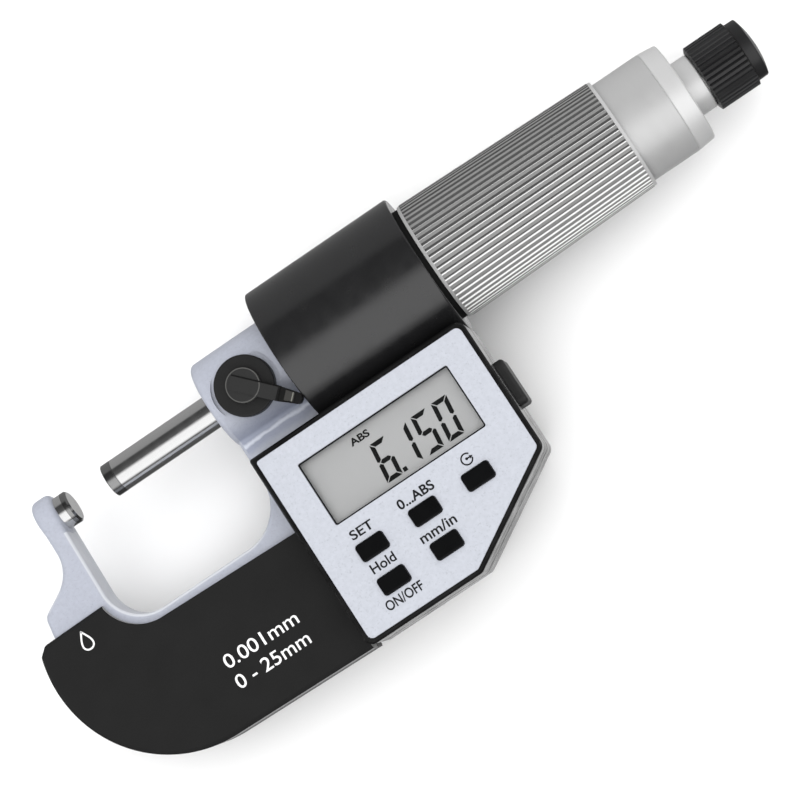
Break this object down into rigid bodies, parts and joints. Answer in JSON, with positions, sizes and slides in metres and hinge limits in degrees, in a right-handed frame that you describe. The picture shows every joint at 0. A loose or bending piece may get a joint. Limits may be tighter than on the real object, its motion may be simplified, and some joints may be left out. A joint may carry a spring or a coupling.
{
  "type": "outside micrometer",
  "caption": "Digital outside micrometer with U frame, covered bow, round barrel, display housing with push buttons, fluted sleeve, telescoping thimble and ratchet knob.",
  "frame": {"origin": "centre of the anvil's measuring face", "axes": "+X along the spindle axis from the anvil to the ratchet knob, -Y towards the bow of the frame, +Z out of the display; the micrometer lies on its back"},
  "size_m": [0.1689, 0.0667, 0.0286],
  "materials": {
    "frame_paint": "satin, fine orange-peel",
    "black_plastic": "satin moulded",
    "key_plastic": "semi-gloss",
    "lock_plastic": "matte",
    "knob_plastic": "satin",
    "seal_rubber": "matt",
    "keypad_rubber": "matt",
    "panel_print": "matt, fine speckle",
    "window_clear": "clear",
    "lcd": "matt grey reflective display",
    "steel": "ground and polished",
    "hard_metal": "lapped hard metal",
    "screw_steel": "blackened",
    "sleeve_aluminium": "bright machined",
    "thimble_silver": "satin chrome",
    "board_green": "solder-resist",
    "ribbon_amber": "flexible film",
    "cell_steel": "plated",
    "contact_brass": "plated spring strip"
  },
  "bodies": {
    "frame": {"frame": "frame_paint", "anvil": "steel", "anvil_tip": "hard_metal", "front_cover": "black_plastic", "rear_cover": "black_plastic", "cover_screws": "screw_steel", "front_housing": "black_plastic", "rear_housing": "black_plastic", "housing_seal": "seal_rubber", "housing_screws": "screw_steel", "face_panel": "panel_print", "display_window": "window_clear", "lcd_glass": "lcd", "lcd_connector_strips": "seal_rubber", "circuit_board": "board_green", "board_screws": "steel", "keypad_membrane": "keypad_rubber", "battery": "cell_steel", "battery_contact_top": "contact_brass", "battery_contact_side": "contact_brass", "data_port_socket": "black_plastic", "data_port_contacts": "contact_brass", "spindle_bush": "steel", "inner_sleeve": "steel", "adjusting_nut": "steel", "stator_board": "board_green", "sensor_ribbon": "ribbon_amber", "dust_ring": "seal_rubber", "lock_shoe": "contact_brass"},
    "grip_sleeve": {"fluted_sleeve": "sleeve_aluminium", "rotor_hub": "sleeve_aluminium", "rotor_disc": "board_green"},
    "spindle": {"spindle": "steel", "spindle_tip": "hard_metal", "thimble": "thimble_silver", "drive_key": "steel", "thimble_cap": "thimble_silver", "ratchet_stem": "thimble_silver", "ratchet_pawl": "steel", "ratchet_screw": "steel"},
    "ratchet": {"ratchet_knob": "knob_plastic", "ratchet_cap": "knob_plastic", "ratchet_spring": "steel"},
    "lock_lever": {"lock_lever": "lock_plastic", "lock_screw": "steel"},
    "port_cover": {"port_cover": "black_plastic"},
    "battery_seal": {"battery_cap_seal": "seal_rubber"},
    "battery_cap": {"battery_cap": "black_plastic"},
    "button_set": {"button_set": "key_plastic"},
    "button_hold": {"button_hold": "key_plastic"},
    "button_abs": {"button_abs": "key_plastic"},
    "button_unit": {"button_unit": "key_plastic"},
    "button_origin": {"button_origin": "key_plastic"}
  },
  "joints": [
    {"name": "thimble_turn", "type": "hinge", "parent": "frame", "child": "grip_sleeve", "pos_m": [0, 0, 0], "axis": [1, 0, 0], "range_deg": [-5759, 12239]},
    {"name": "spindle_travel", "type": "slide", "parent": "grip_sleeve", "child": "spindle", "axis": [1, 0, 0], "range_m": [-0.008, 0.017]},
    {"name": "ratchet_turn", "type": "hinge", "parent": "spindle", "child": "ratchet", "pos_m": [0.1376, 0, 0], "axis": [1, 0, 0], "continuous": true},
    {"name": "lock_turn", "type": "hinge", "parent": "frame", "child": "lock_lever", "pos_m": [0.04, -0.001, 0.0083], "axis": [0, 0, 1], "range_deg": [-70, 0]},
    {"name": "port_cover_pull", "type": "slide", "parent": "frame", "child": "port_cover", "axis": [1, 0, 0], "range_m": [0, 0.006]},
    {"name": "battery_cap_lift", "type": "slide", "parent": "frame", "child": "battery_seal", "axis": [0, 0, -1], "range_m": [0, 0.003]},
    {"name": "battery_cap_turn", "type": "hinge", "parent": "battery_seal", "child": "battery_cap", "pos_m": [0.062, -0.03, -0.014], "axis": [0, 0, -1], "range_deg": [0, 540]},
    {"name": "button_set_press", "type": "slide", "parent": "frame", "child": "button_set", "axis": [0, 0, -1], "range_m": [0, 0.0006], "stiffness_N_per_m": 600, "springref_m": -0.0004},
    {"name": "button_hold_press", "type": "slide", "parent": "frame", "child": "button_hold", "axis": [0, 0, -1], "range_m": [0, 0.0006], "stiffness_N_per_m": 600, "springref_m": -0.0004},
    {"name": "button_abs_press", "type": "slide", "parent": "frame", "child": "button_abs", "axis": [0, 0, -1], "range_m": [0, 0.0006], "stiffness_N_per_m": 600, "springref_m": -0.0004},
    {"name": "button_unit_press", "type": "slide", "parent": "frame", "child": "button_unit", "axis": [0, 0, -1], "range_m": [0, 0.0006], "stiffness_N_per_m": 600, "springref_m": -0.0004},
    {"name": "button_origin_press", "type": "slide", "parent": "frame", "child": "button_origin", "axis": [0, 0, -1], "range_m": [0, 0.0006], "stiffness_N_per_m": 600, "springref_m": -0.0004}
  ],
  "couplings": [
    {"joint": "spindle_travel", "follows": "thimble_turn", "m_per_rad": 0.000079577},
    {"joint": "battery_cap_turn", "follows": "battery_cap_lift", "rad_per_m": 3141.6}
  ]
}
